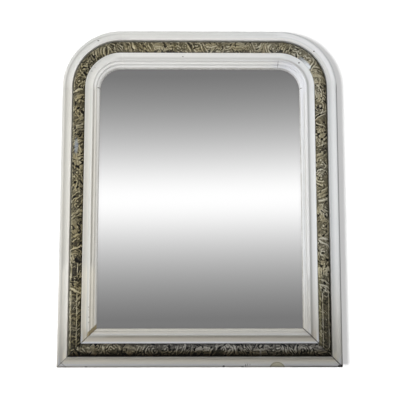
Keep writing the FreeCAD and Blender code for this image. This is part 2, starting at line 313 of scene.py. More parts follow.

# Washes: bands of paint made lighter or darker, mostly painted highlight and painted shade on the
# mouldings' slopes and risers, as bounds across, in x and in z in millimetres, colour and amount
highlight_and_shade_washes = (
    ((0, 4), (-340, -290), (-150, 250), (222, 222, 216), 0.9),
    ((10, 22), (-340, -290), (-150, 250), (222, 220, 212), 0.9),
    ((67, 72), (-340, -230), (-330, 250), (222, 222, 216), 0.9),
    ((9.5, 13), (-340, -290), (-340, -190), (255, 252, 242), 0.9),
    ((75, 77), (-340, -230), (-150, 250), (192, 187, 176), 0.6),
    ((79, 81), (-340, -230), (-150, 250), (252, 249, 240), 0.9),
    ((16.5, 21), (-160, 300), (290, 400), (254, 252, 248), 0.8),
    ((5, 12), (200, 340), (290, 400), (252, 252, 254), 0.5),
    ((0, 3), (220, 340), (290, 400), (204, 206, 210), 0.7),
    ((54, 62), (-190, 190), (310, 400), (252, 251, 248), 0.7),
    ((76, 78), (-190, 190), (300, 400), (238, 236, 232), 0.6),
    ((84.5, 88), (-340, -230), (-300, 250), (255, 254, 250), 0.8),
    ((66, 70), (-190, 190), (310, 400), (214, 213, 209), 0.7),
    ((73, 77), (230, 340), (-180, 240), (246, 246, 245), 0.6),
    ((78.2, 79.4), (230, 340), (-330, 240), (208, 206, 200), 0.6),
    ((14, 21), (-340, 340), (-400, -378), (255, 249, 234), 1.0),
    ((4, 8), (-340, 340), (-400, -390), (238, 240, 251), 0.5),
    ((0, 0.7), (-340, 340), (-400, -390), (128, 98, 70), 0.5),
    ((55, 58), (-340, 340), (-346, -338), (238, 242, 253), 0.6),
    ((61, 70), (-340, 340), (-340, -326), (204, 192, 170), 0.4),
    ((74, 76.5), (-340, 340), (-330, -316), (232, 234, 240), 0.35))
wash_soft_across = 1.2
wash_soft_along = 24.0

# Marks: x, z, half width and half height in millimetres, how ragged, how soft, colour, amount
bare_timber = (58, 47, 36)
soot = (30, 27, 24)
filler = (216, 211, 190)
filler_rim = (158, 146, 96)
crack = tuple(
    (-320 + 2.3 * step, -389 - 1.8 * step, 1.4, 1.1, 0.6, 0.4, bare_timber, 0.4) for step in range(6))
paint_marks = (
    (-246, 376, 2.2, 1.3, 0.9, 0.4, bare_timber, 0.8),
    (276, 351, 2.2, 1.5, 0.9, 0.4, bare_timber, 0.8),
    (239, 322, 2.0, 1.6, 0.8, 0.4, bare_timber, 0.85),
    (-41.5, 337, 1.8, 1.2, 0.8, 0.4, bare_timber, 0.6),
    (-260, 300, 1.4, 1.4, 0.8, 0.4, bare_timber, 0.4),
    (-253, 309, 1.3, 1.3, 0.8, 0.4, bare_timber, 0.35),
    (-244.5, 263, 3.4, 1.1, 0.8, 0.3, bare_timber, 0.8),
    (245, 263, 3.2, 1.0, 0.8, 0.3, bare_timber, 0.7),
    (189, 320, 0.9, 7.0, 0.6, 0.4, bare_timber, 0.5),
    (-262, -398.5, 3.2, 1.6, 0.9, 0.3, soot, 0.7),
    (54.5, -397.5, 2.6, 2.6, 0.9, 0.3, soot, 0.9),
    (98, -398.5, 3.0, 1.5, 0.9, 0.3, soot, 0.8),
    (105.5, -395, 0.9, 3.4, 0.9, 0.3, soot, 0.8),
    (110, -394, 0.8, 2.6, 0.9, 0.3, soot, 0.7),
    (115, -393.5, 0.7, 2.0, 0.9, 0.3, soot, 0.6),
    (178, -400, 17.0, 12.5, 0.12, 0.08, filler_rim, 0.75),
    (178, -400, 14.6, 10.2, 0.12, 0.08, filler, 1.0),
    (-258.5, -262, 0.9, 1.7, 0.8, 0.4, bare_timber, 0.6),
    (-258.5, -268.5, 0.8, 1.3, 0.8, 0.4, bare_timber, 0.5),
    (-257.5, -285, 0.9, 1.6, 0.8, 0.4, bare_timber, 0.6),
    (-257.5, -297, 0.9, 1.6, 0.8, 0.4, bare_timber, 0.6),
    (321, -397, 3.2, 3.0, 0.8, 0.3, soot, 0.9),
    (329, -399, 8.0, 6.0, 0.9, 0.3, soot, 0.95),
    *crack)

# Lines in the paint as place and reach: across the frame, or off the mitre for the bare timber
hollow_line = (69.8, 4.6)
lip_line = (8.0, 2.6)
sight_line = (sight_edge - 0.3, 1.0)
outer_line = (0.6, 4.3)
bare_line = (0.0, 2.0)
bare_patch = (-3.4, 6.6)

# Where the paint changes, from one value to another: x and z in metres, across and mitre in millimetres
to_right_x = (-0.3, 0.25)
to_top_z = (0.2, 0.33)
to_foot_z = (-0.38, -0.12)
foot_tone_across = (20.0, 60.0)
left_foot_x = (-0.22, -0.2)
left_foot_z = (-0.19, -0.15)
left_foot_mitre = (-1.0, 0.5)
left_foot_across = (inner_arris - 1.0, inner_arris)
hollow_shade_x = (0.12, 0.24)
lip_x = (-0.26, -0.14)
lip_z = (-0.32, -0.12)
top_less_shade_z = (0.24, 0.31)
top_less_shade_across = (70.0, 72.0)
steps_across = (72.5, 75.0)
steps_z = (0.1, 0.3)
steps_x = (0.15, 0.21)
right_x = (0.2, 0.22)
outer_line_z = (0.26, 0.28)
inner_across = (inner_arris + 1.0, inner_arris + 3.0)
bare_x = (-0.2, -0.1)
bare_across = (64.0, 74.0)
bare_sway = 3.2
joint_reach = (1.1, 2.0)                      # of the dark in the left and the right mitre


def off_white_paint():
    """Old off-white paint: uneven tone, dirt and painted shade in the quirks, dark joints, painted
    highlights and painted shade on the mouldings, chips down to the timber.
    """
    material, net, shader, place = new_material("off_white_paint")
    on_frame = net.use(frame_place, {"Place": place})
    across = on_frame["Across"]
    mitre = on_frame["Mitre"]
    axes = net.axes(place)
    x = axes["X"]
    z = axes["Z"]

    # Ground: creamier on the left, painted light and shade at the foot, brightest at the left stile's foot
    rightward = net.ease(x, *to_right_x)
    neutral = net.most(rightward, net.times(net.ease(z, *to_top_z), 0.5))
    colour = net.blend(neutral, tone(234, 231, 221), tone(234, 236, 237))
    patches = net.ease(net.noise(place, 6.0, 4.0, 0.6), 0.3, 0.7)
    colour = net.blend(net.times(patches, 0.4), colour, tone(235, 235, 232))
    low = net.below(z, *to_foot_z)
    # at the foot: painted light on the outer moulding and painted shade on the inner
    foot_light_and_shade = net.blend(net.ease(across, *foot_tone_across), tone(242, 239, 229), tone(224, 220, 210))
    colour = net.blend(net.times(low, 0.85), colour, foot_light_and_shade)
    left_foot = net.times(
        net.below(x, *left_foot_x), net.below(z, *left_foot_z), net.below(mitre, *left_foot_mitre),
        net.ease(across, *left_foot_across))
    colour = net.blend(left_foot, colour, tone(253, 248, 234))

    # Painted shade in the hollow and along the lip, fine specks, and dirt with painted shade in the quirks
    # painted shade: the hollow darkened on the right and at the foot, where it faces away from the light
    shaded = net.most(net.ease(x, *hollow_shade_x), net.ease(low, 0.6, 0.95))
    hollow_shade = net.times(net.near(across, *hollow_line), shaded, 0.42)
    colour = net.blend(hollow_shade, colour, tone(127, 124, 117))
    # painted shade along the lip of the left stile
    lip_shade = net.times(net.near(across, *lip_line), net.below(x, *lip_x), net.ease(z, *lip_z), 0.26)
    colour = net.blend(lip_shade, colour, tone(128, 122, 112))
    fine = net.noise(place, 260.0, 4.0, 0.6)
    colour = net.blend(net.times(net.ease(fine, 0.58, 0.8), 0.22), colour, tone(208, 202, 190))
    broken = net.ease(net.noise(place, 45.0, 4.0, 0.7), 0.25, 0.7)
    # dirt and painted shade in the quirks, with less of it on the top's steps
    crease_dirt_and_shade = 0.0
    for quirk, reach, depth in quirks:
        crease_dirt_and_shade = net.most(net.times(net.near(across, quirk, reach), depth), crease_dirt_and_shade)
    top_less_shade = net.times(net.ease(z, *top_less_shade_z), net.ease(across, *top_less_shade_across))
    crease_dirt_and_shade = net.times(crease_dirt_and_shade, net.spread(broken, 0.35, 1.0), net.spread(top_less_shade, 1.0, 0.4))
    colour = net.blend(crease_dirt_and_shade, colour, tone(92, 86, 74))

    # Painted light on the steps at the top, and the washes of painted highlight and painted shade
    # painted light: the top's downward-facing steps made whiter
    top_step_light = net.times(net.ease(across, *steps_across), net.ease(z, *steps_z))
    step_light_tone = net.blend(net.ease(x, *steps_x), tone(251, 250, 247), tone(238, 239, 243))
    colour = net.blend(top_step_light, colour, step_light_tone)
    point = net.axes_mm(place)
    # washes of painted highlight and painted shade
    for bounds, bounds_x, bounds_z, wash, amount in highlight_and_shade_washes:
        mask = net.times(
            net.within(across, bounds, wash_soft_across), amount,
            net.within(point["X"], bounds_x, wash_soft_along),
            net.within(point["Z"], bounds_z, wash_soft_along))
        colour = net.blend(mask, colour, tone(*wash))

    # Dirt at the sight edge, painted shade on the outer edge on the right, bare timber at the left mitre
    dirt = net.times(
        net.near(across, *sight_line), net.spread(broken, 0.03, 0.45), net.spread(rightward, 0.5, 1.0))
    colour = net.blend(dirt, colour, tone(150, 136, 96))
    # painted shade on the right outer edge
    on_right = net.ease(x, *right_x)
    right_edge_shade = net.times(net.near(across, *outer_line), on_right, net.below(z, *outer_line_z), 0.75)
    colour = net.blend(right_edge_shade, colour, tone(66, 66, 68))
    ragged = net.plus(mitre, net.spread(net.noise(place, 300.0, 3.0), -bare_sway, bare_sway))
    broad = net.times(net.near(ragged, *bare_patch), net.ease(across, *bare_across))
    bare = net.times(
        net.most(net.near(ragged, *bare_line), broad), net.below(x, *bare_x),
        net.ease(across, *inner_across))
    colour = net.blend(net.ease(bare, 0.25, 0.6), colour, tone(172, 157, 122))

    # Chips, and dark in the mitres
    colour = net.marks(place, colour, paint_marks)
    reach = net.spread(on_right, *joint_reach)
    joint = net.times(net.near(mitre, 0.0, reach), net.spread(on_right, 0.7, 0.95))
    colour = net.blend(joint, colour, tone(34, 31, 27))
    net.fill(shader.inputs["Base Color"], colour)
    net.fill(shader.inputs["Roughness"], net.spread(net.noise(place, 30.0, 3.0), 0.42, 0.62))
    lumps = net.plus(net.noise(place, 70.0, 3.0), net.times(fine, 0.25))
    net.bump(shader, net.less(lumps, net.times(bare, 0.6)), 0.3, 0.0010)
    return material


# Old silver. The streak at the right corner: radius, half size, and its spots as turn, grey and amount.
streak_radius = 88.0
streak_half_size = 4.8
streak_spots = (
    (54, 178, 0.5), (51, 190, 0.65), (47, 206, 0.75), (43, 222, 0.85), (39, 238, 0.9), (35, 246, 0.9))
# worn silver streak, brightening to a painted highlight at its lower end
streak_and_highlight = tuple(
    (corner_x + streak_radius * math.cos(math.radians(turn)),
     corner_z + streak_radius * math.sin(math.radians(turn)),
     streak_half_size, streak_half_size, 0.6, 0.5, (level, level + 4, level + 9), amount)
    for turn, level, amount in streak_spots)
silver_marks = (
    (140, -369, 2.2, 11.0, 0.5, 0.4, (196, 192, 182), 0.8),
    (-294, 117, 4.5, 17.0, 0.9, 0.5, (158, 166, 174), 0.75),
    *streak_and_highlight)

# Tones of the silver from the cuts to the rubbed ridges
silver_tones = (
    (0.16, (24, 21, 16)), (0.32, (66, 60, 44)), (0.46, (108, 100, 74)), (0.58, (138, 128, 96)),
    (0.74, (176, 164, 126)), (0.92, (214, 204, 170)))
cool_tones = (
    (0.16, (22, 22, 22)), (0.32, (62, 61, 54)), (0.46, (102, 99, 86)), (0.58, (134, 130, 114)),
    (0.74, (172, 168, 150)), (0.92, (212, 210, 198)))
steel_tones = (
    (0.16, (20, 20, 21)), (0.32, (58, 57, 55)), (0.46, (98, 96, 92)), (0.58, (132, 129, 124)),
    (0.74, (172, 168, 161)), (0.92, (216, 213, 206)))

# Lines in the silver as place and reach across the frame
outer_edge_line = (band_start + 1.7, 6.0)
inner_edge_line = (band_end - 1.0, 10.0)
yellow_line = (50.5, 4.0)
rim_reach = 1.3
mitre_reach = 1.4

# Where the silver changes, from one value to another: x and z in metres, across and mitre in millimetres
rail_z = (-0.345, -0.335)
rail_mitre = (-0.6, 0.6)
rubbed_x = (-0.3, 0.3)
outer_edge_x = (0.1, 0.25)
top_z = (0.33, 0.35)
top_left_x = (-0.1, 0.05)
inner_half_across = (36.0, 48.0)
head_x = (0.17, 0.24)
head_z = (0.25, 0.29)
foot_z = (-0.2, -0.08)
sides_x = (-0.1, 0.1)
cool_x = (-0.1, 0.3)
steel_across = (33.0, 43.0)
steel_x = (-0.24, -0.05)
under_across = (25.0, 46.0)
under_x = (0.0, 0.25)
stile_x = (0.272, 0.284)
stile_foot_z = (-0.36, -0.16)
low_right_z = (-0.30, -0.08)
dark_edge_across = (26.0, 33.0)
right_stile_x = (0.2, 0.25)
right_side_across = (28.0, 42.0)


def darkened_silver():
    """Silvered foliage gone olive and brown, rubbed pale on the ridges and dark in the cuts."""
    material, net, shader, place = new_material("darkened_silver")
    on_frame = net.use(frame_place, {"Place": place})
    across = on_frame["Across"]
    mitre = on_frame["Mitre"]
    axes = net.axes(place)
    x = axes["X"]
    z = axes["Z"]
    rail = net.times(net.below(z, *rail_z), net.ease(mitre, *rail_mitre))
    not_rail = net.less(1.0, rail)
    on_top = net.ease(z, *top_z)
    rightward = net.ease(x, *sides_x)

    # Level: rubbed bright from the carving's height, patches and place, some of it painted light
    relief = net.add("ShaderNodeAttribute", attribute_name="relief")["Fac"]
    ridge = net.add("ShaderNodeAttribute", attribute_name="ridge")["Fac"]
    patches = net.less(net.noise(place, 34.0, 4.0, 0.6), 0.5)
    specks = net.less(net.noise(place, 330.0, 3.0, 0.6), 0.5)
    level = net.plus(
        net.times(relief, 0.68), net.times(ridge, 0.38), net.times(patches, 0.45),
        net.times(specks, 0.25))
    rubbed = net.times(net.spread(net.ease(x, *rubbed_x), -0.04, 0.09), not_rail)
    # painted light at the band's outer edge on the left and top, with a cooler hue there
    outer_edge_light = net.times(net.near(across, *outer_edge_line), net.below(x, *outer_edge_x), not_rail, 0.2)
    level = net.plus(level, -0.04, rubbed, outer_edge_light)
    top_left = net.times(on_top, net.below(x, *top_left_x))
    # painted light on the inner half of the bottom rail and the top's left end
    inner_half_light = net.times(net.plus(rail, top_left), 0.09, net.ease(across, *inner_half_across))
    head = net.times(net.spread(net.ease(x, *head_x), 0.03, 0.07), net.ease(z, *head_z))
    level = net.most(net.plus(level, inner_half_light, head), net.times(on_top, 0.31))
    foot = net.times(net.below(z, *foot_z), not_rail)
    stronger = net.times(net.less(level, net.spread(rightward, 0.4, 0.6)), 0.45)
    level = net.plus(level, net.times(stronger, foot))

    # Colour of each level: olive, cooler in patches and on the right, steely on the bottom rail
    hue = net.times(net.ease(net.noise(place, 21.0, 3.0), 0.40, 0.64), 0.4)
    hue = net.plus(hue, net.times(net.ease(x, *cool_x), 0.4))
    hue = net.most(hue, net.times(outer_edge_light, 4.0))
    colour = net.blend(hue, net.ramp(level, silver_tones), net.ramp(level, cool_tones))
    steel = net.times(
        net.ease(across, *steel_across), rail, net.spread(net.ease(x, *steel_x), 0.15, 0.9))
    colour = net.blend(steel, colour, net.ramp(level, steel_tones))
    inner_edge = net.times(net.near(across, *inner_edge_line), net.most(rail, on_top), 0.3)
    colour = net.blend(inner_edge, colour, tone(98, 101, 108))
    colour = net.marks(place, colour, silver_marks)

    # Yellowed inner side of the right foot, then painted shade below, on the right and in the rims
    on_stile = net.ease(net.calc("ABSOLUTE", x), *stile_x)
    low_right = net.times(net.below(z, *low_right_z), on_stile, rightward)
    yellowed = net.times(net.near(across, *yellow_line), low_right, 0.5)
    colour = net.blend(yellowed, colour, tone(176, 170, 118))
    # painted shade: the bottom rail's lower half, the stiles' feet, the right's outer half and foot edge
    under = net.times(
        net.below(across, *under_across), rail, net.spread(net.ease(x, *under_x), 0.99, 0.82))
    stile_foot = net.times(
        net.below(z, *stile_foot_z), on_stile, net.spread(rightward, 0.12, 0.38))
    right_side = net.times(
        net.below(across, *right_side_across), net.ease(x, *right_stile_x), not_rail, 0.16)
    dark_edge = net.times(net.below(across, *dark_edge_across), low_right, 0.7)
    silver_shade = net.most(under, stile_foot, right_side, dark_edge)
    silver_shade_tone = net.blend(net.ease(level, 0.42, 0.8), tone(5, 4, 3), tone(66, 47, 29))
    colour = net.blend(silver_shade, colour, net.blend(rail, tone(7, 5, 4), silver_shade_tone))
    # painted shade in the rims beside the band, with the dark mitre joints
    rim_shade = net.most(
        net.near(across, band_start, rim_reach), net.near(across, band_end, rim_reach),
        net.near(mitre, 0.0, mitre_reach))
    colour = net.blend(net.times(rim_shade, 0.9), colour, tone(26, 28, 33))
    net.fill(shader.inputs["Base Color"], colour)
    shader.inputs["Metallic"].default_value = 0.2
    shader.inputs["Specular IOR Level"].default_value = 0.3
    net.fill(shader.inputs["Roughness"], net.spread(net.noise(place, 160.0, 3.0), 0.40, 0.65))
    net.bump(shader, net.noise(place, 900.0, 3.0), 0.25, 0.0004)
    return material


dim_reach = 10.0                              # of the dimmer edge of the silvering


def silvered_glass():
    """Mirror: bright silvering, a trace dimmer and greyer towards its edges."""
    material, net, shader, place = new_material("silvered_glass")
    across = net.use(frame_place, {"Place": place})["Across"]
    edge = net.below(across, sight_edge, sight_edge + dim_reach)
    dim = net.times(edge, net.spread(net.noise(place, 60.0, 3.0), 0.0, 0.12))
    net.fill(shader.inputs["Base Color"], net.blend(dim, grey(1.0), tone(150, 147, 138)))
    shader.inputs["Metallic"].default_value = 1.0
    shader.inputs["Roughness"].default_value = 0.0
    return material


seam_edge = 1.0 * MM
seam_reach = 2.6 * MM
knot_stain = (66, 42, 26)
knot_rings = ((2.2, 0.35), (1.0, 0.8))        # size against the knot's own, and amount


def timber(name, turn, pale, dark, stain, stain_amount, seams=(), knots=()):
    """Bare timber; turn lays its grain along the piece. Seams in x, knots as x, z and half sizes."""
    material, net, shader, place = new_material(name)
    laid = net.add("ShaderNodeMapping", {"Vector": place, "Rotation": turn})[0]
    grain = net.use(wood_grain, {
        "Place": laid, "Pale": pale, "Dark": dark, "Stain": stain, "Stain amount": stain_amount})
    colour = grain["Color"]
    x = net.axes(place)["X"]
    for seam in seams:
        past = net.ease(x, seam - seam_edge, seam + seam_edge)
        outer_board = past if seam < 0 else net.less(1.0, past)
        colour = net.blend(net.times(outer_board, 0.14), colour, dark)
        colour = net.blend(net.times(net.near(x, seam, seam_reach), 0.9), colour, tone(24, 18, 12))
    colour = net.marks(place, colour, [
        (knot_x, knot_z, size * half_x, size * half_z, 0.5, 0.35, knot_stain, amount)
        for knot_x, knot_z, half_x, half_z in knots for size, amount in knot_rings])
    net.fill(shader.inputs["Base Color"], colour)
    net.fill(shader.inputs["Roughness"], grain["Roughness"])
    net.bump(shader, grain["Relief"], 0.5, 0.0006)
    return material


def blackened_iron(name, rust_amount):
    """Forged iron, blackened, with rust coming through."""
    material, net, shader, place = new_material(name)
    cloud = net.noise(place, 130.0, 5.0, 0.65)
    rust = net.times(net.ease(cloud, 0.48, 0.66), rust_amount)
    fine = net.noise(place, 900.0, 4.0, 0.6)
    iron = net.blend(fine, tone(38, 36, 35), tone(70, 67, 64))
    brown = net.blend(fine, tone(70, 40, 24), tone(122, 74, 42))
    net.fill(shader.inputs["Base Color"], net.blend(rust, iron, brown))
    net.fill(shader.inputs["Metallic"], net.spread(rust, 0.85, 0.1))
    net.fill(shader.inputs["Roughness"], net.spread(rust, 0.42, 0.85))
    net.bump(shader, net.plus(fine, rust), 0.4, 0.0004)
    return material


upright = (0.0, 0.0, 0.0)
lengthwise = (0.0, math.radians(90.0), 0.0)
pine = (tone(188, 152, 104), tone(132, 95, 58))
block_pine = (tone(186, 152, 104), tone(130, 94, 58))
board_pine = (tone(178, 143, 100), tone(122, 88, 56))
oak = (tone(140, 104, 64), tone(88, 60, 34))
board_seams = (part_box("back_board_left")[1].x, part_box("back_board_right")[0].x)
board_knots = (
    (-205, 214, 6, 9), (-148, -96, 8, 12), (-232, -268, 5, 7), (-38, 96, 7, 11), (52, -214, 6, 9),
    (22, 292, 5, 8), (168, 152, 8, 12), (231, -52, 5, 8), (142, -292, 7, 10))
paint = off_white_paint()
silver = darkened_silver()
finishes = {
    "outer_moulding": paint,
    "inner_moulding": paint,
    "ornament_band": silver,
    "mirror_glass": silvered_glass(),
    "carcass_stile": timber("stile_pine", upright, *pine, tone(74, 56, 38), 0.55),
    "carcass_rail": timber("rail_pine", lengthwise, *pine, tone(70, 54, 38), 0.55),
    "glass_blocks": timber("block_pine", upright, *block_pine, tone(84, 64, 44), 0.4),
    "lap_pegs": timber("peg_oak", upright, *oak, tone(58, 42, 28), 0.4),
    "back_board_nails": blackened_iron("nail_iron", 0.9),
    "back_board": timber(
        "board_pine", upright, *board_pine, tone(88, 68, 48), 0.5, board_seams, board_knots),
    "hanger": blackened_iron("hanger_iron", 0.6),
}
for name, piece in nodes.items():
    kind = next(start for start in finishes if name.startswith(start))
    for material_slot in piece.material_slots:
        material_slot.material = finishes[kind]


# Carving of the ornament band. Along counts from the foot of a stile, from the left of a rail, or from
# the stile's end of a corner; over counts from the crown towards the sight edge, in millimetres.
# Strokes are drawn as control points (along, over), widths at start, middle and end, and a height.

grid_step = 0.65
carve_reach = 16.8             # carved width on either side of the crown
ground_depth = 0.9             # of the ground below the half-round
edge_depth = 0.15              # of the uncarved edge below the half-round
crust_height = 0.45            # of the fine unevenness all over
line_steps = 9
stray = 1.5                    # how far the carver's hand strays from the drawn lines
sway_waves = (37.0, 19.0, 11.0, 6.5)
spray_pitch = 8.0
comb_pitch = 5.6
spray_cut_side = 4.0           # from a stroke to the cut beside it
comb_cut_side = 2.8
panel_over = (-9.5, 4.5)       # sunk panel between the reeds
panel_depth = 0.9
reed_places = (-9.6, 5.0)
reed_half_width = 1.0
reed_height = 2.2
reed_wear_wave = 5.0
reed_cuts = {1: 0.35, -1: 0.9}     # share of the usual cuts, by the reeds' lean

# Strokes strewn over each motif: least and most reach, width, least and most height
ground_strokes = ((1.5, 4.5), 2.6, (0.3, 0.9))
fine_cuts = ((1.0, 3.2), 2.2, (-1.4, -0.7))
deep_cuts = ((1.8, 3.6), 5.0, (-1.9, -1.2))
ground_pitch = 2.0             # length of band for each strewn stroke, cut or berry
fine_cut_pitch = 6.0
deep_cut_pitch = 10.0
berry_pitch = 10.0

# How often the heights are evened out, and the heights between which the silver goes from dark to pale
stroke_softening = 1
crust_softening = 2
ridge_softening = 16
dark_depth = 1.3
relief_span = 3.4
ridge_span = 2.6


class Carving:
    """Heights of strokes raised and cut on a stretch of band."""

    def __init__(self, along, over, seed):
        self.draw = random.Random(seed)
        self.ruled_along = along
        self.ruled_over = over
        self.along = along + self.sway(along, over)
        self.over = over + self.sway(along, over)
        self.height = np.zeros_like(along)

    def sway(self, along, over):
        """Smooth straying of the drawn lines."""
        total = np.zeros_like(along)
        for wave in sway_waves:
            lean = self.draw.uniform(-1.2, 1.2)
            turn = self.draw.uniform(0, wave)
            total += np.sin((along + lean * over + turn) * math.tau / wave) * wave / sway_waves[0]
        return total * stray

    def profile(self, line, widths):
        """Points near a line and their rounded height; widths at its start, middle and end."""
        line = np.array(line, dtype=float)
        reach = max(widths)
        low = line.min(axis=0) - reach
        high = line.max(axis=0) + reach
        inside = (self.along > low[0]) & (self.along < high[0])
        inside &= (self.over > low[1]) & (self.over < high[1])
        points = np.stack((self.along[inside], self.over[inside]), axis=-1)
        best = np.zeros(len(points))
        count = len(line) - 1
        for index in range(count):
            start = line[index]
            step = line[index + 1] - start
            share = np.clip((points - start) @ step / max(step @ step, 1e-9), 0, 1)
            away = np.linalg.norm(points - start - share[:, None] * step, axis=1)
            radius = np.interp((index + share) / count, (0, 0.5, 1), widths) / 2
            best = np.maximum(best, np.sqrt(np.clip(1 - (away / radius) ** 2, 0, 1)))
        return inside, best

    def mark(self, line, widths, height):
        """Raise a ridge along a line, or with a height below zero cut a groove."""
        inside, best = self.profile(line, widths)
        if height > 0:
            self.height[inside] = np.maximum(self.height[inside], height * best)
        else:
            self.height[inside] += (height - self.height[inside]) * best

    def uneven(self, widths):
        """Widths of a stroke as the tool happened to bite."""
        bite = self.draw.uniform(0.6, 1.35)
        return tuple(bite * width for width in widths)

    def stroke(self, start, middle, end, widths, height):
        """A bent stroke through three control points."""
        share = np.linspace(0, 1, line_steps + 1)[:, None]
        bend = (1 - share) ** 2 * np.array(start) + 2 * share * (1 - share) * np.array(middle)
        self.mark(bend + share ** 2 * np.array(end), widths, height)

    def arc(self, centre, radius, first, last, widths, height):
        angles = np.radians(np.linspace(first, last, line_steps + 1))
        line = np.stack((centre[0] + radius * np.cos(angles), centre[1] + radius * np.sin(angles)), axis=-1)
        self.mark(line, widths, height)

    def bead(self, along, over, width, height):
        self.mark([(along, over), (along + 0.2, over)], (width, width, width), height)

    def jitter(self, size):
        return self.draw.uniform(-size, size)

    def scatter(self, start, length, lean, count, reaches, width, heights):
        """Short bent strokes strewn over the ground."""
        for _ in range(count):
            along = start + self.draw.uniform(0, length)
            over = self.jitter(carve_reach)
            reach = self.draw.uniform(*reaches)
            slant = lean * self.draw.uniform(0.1, 1.3)
            middle = (along + self.jitter(reach), over + self.jitter(1.0))
            broad = width * self.draw.uniform(0.75, 1.3)
            self.stroke(
                (along - slant * reach, over - reach), middle, (along + slant * reach, over + reach),
                (broad / 2, broad, broad / 2), self.draw.uniform(*heights))

    def berries(self, start, length, count):
        """Small raised dots."""
        for _ in range(count):
            self.bead(
                start + self.draw.uniform(0, length), self.jitter(13), self.draw.uniform(1.8, 3.0),
                self.draw.uniform(1.7, 2.4))

    def spray(self, start, length, lean):
        """Comma strokes crossing the band, fat at one end, with cuts between them."""
        count = max(2, round(length / spray_pitch))
        side = spray_cut_side
        for index in range(count):
            if self.draw.random() < 0.12:
                continue
            along = start + (index + 0.5) * length / count + self.jitter(0.8)
            top = (along - lean * 6 + self.jitter(2.5), -13 + self.jitter(4.5))
            waist = (along + lean * 3 + self.jitter(3), self.jitter(4))
            foot = (along + lean * 5 + self.jitter(2.5), 12 + self.jitter(4.5))
            self.stroke(top, waist, foot, self.uneven((3.0, 7.4, 4.8)), self.draw.uniform(0.6, 2.0))
            if self.draw.random() < 0.75:
                first = self.draw.uniform(0.0, 9.0)
                last = self.draw.uniform(0.0, 9.0)
                self.stroke(
                    (top[0] + side, top[1] + first), (waist[0] + side, waist[1]),
                    (foot[0] + side, foot[1] - last),
                    self.uneven((1.0, 2.8, 1.4)), -self.draw.uniform(0.4, 1.5))

    def comb(self, start, length, lean):
        """Close short strokes crossing the band, each with a cut beside it."""
        count = max(2, round(length / comb_pitch))
        side = comb_cut_side
        for index in range(count):
            along = start + (index + 0.5) * length / count + self.jitter(0.7)
            top = (along - lean * 4 + self.jitter(1.5), -12 + self.jitter(3.5))
            waist = (along + lean * 2.5 + self.jitter(1.5), self.jitter(4))
            foot = (along + lean * 4 + self.jitter(1.5), 11 + self.jitter(4.0))
            self.stroke(top, waist, foot, self.uneven((1.6, 3.8, 2.6)), self.draw.uniform(0.9, 2.1))
            inner = self.draw.uniform(0.0, 10.0)
            self.stroke(
                (top[0] + side, top[1] + inner), (waist[0] + side, waist[1] + 3),
                (foot[0] + side, foot[1] + 2),
                self.uneven((1.0, 2.4, 2.8)), -self.draw.uniform(0.7, 1.7))

    def leaf(self, start, length, lean):
        """Long ribs fanning along the band, notched at the sides."""
        base, tip = (start, start + length) if lean > 0 else (start + length, start)
        for rib in range(-2, 3):
            waist = (base + tip) / 2 + self.jitter(4)
            self.stroke(
                (base + 2.5 * lean + self.jitter(3), 3.0 * rib + self.jitter(1)),
                (waist, 9.0 * rib + self.jitter(1.5)),
                (tip - 4 * lean + self.jitter(3), 5.5 * rib + self.jitter(1.5)),
                self.uneven((3.4, 8.0, 3.8)), self.draw.uniform(0.6, 1.8))
        for _ in range(round(length / 7)):
            along = start + self.draw.uniform(3, length - 3)
            side = self.draw.choice((-1, 1))
            inner = self.draw.uniform(2, 9)
            self.stroke(
                (along - 2 * lean, side * 15), (along, side * 11), (along + 4 * lean, side * inner),
                (4.2, 3.2, 1.2), -self.draw.uniform(0.9, 1.5))

    def swirl(self, start, length, lean):
        """Rings of strokes round a bead."""
        centre = (start + length / 2, 2.5 * lean + self.jitter(2))
        facing = 90 * lean + self.jitter(40)
        self.bead(*centre, 4.8, 2.1)
        for ring in range(1, 4):
            radius = 1.0 + 6.0 * ring + self.jitter(0.6)
            first = facing - 120 + self.jitter(25)
            last = facing + 120 + self.jitter(25)
            widths = self.uneven((2.4, 6.0, 3.0))
            self.arc(centre, radius, first, last, widths, self.draw.uniform(0.8, 1.9))
            cut = -self.draw.uniform(0.7, 1.4)
            self.arc(centre, radius + 3.0, first + 15, last - 30, (1.0, 2.4, 1.2), cut)

    def beads(self, start, length, lean):
        """Berries among short curled strokes."""
        for share in (0.28, 0.74):
            along = start + length * share + self.jitter(1.5)
            over = self.jitter(5) + 3 * lean
            self.bead(along, over, 4.6, 2.3)
            self.arc((along, over), 4.2, 150 * lean, 330 * lean, (1.0, 2.0, 1.0), -1.1)
            self.arc((along, over), 7.0, 200 * lean, 350 * lean, (1.4, 3.2, 1.6), 1.5)
            self.stroke((along - 5, -14), (along, -10), (along + 5, -13), (1.4, 3.8, 2.0), 1.5)
            self.stroke((along - 4, 14), (along + lean, 11), (along + 5, 13), (1.4, 3.8, 2.0), 1.5)

    def gap(self, start, length, lean):
        """A slanting cut across the band between two ridges."""
        ridge = (2.0, 3.4, 2.0)
        cut = (2.0, 3.6, 2.4)
        for share, widths, height in ((0, ridge, 1.7), (1, ridge, 1.7), (0.5, cut, -1.4)):
            along = start + share * length
            self.stroke((along - 8 * lean, -15), (along, 0), (along + 8 * lean, 15), widths, height)

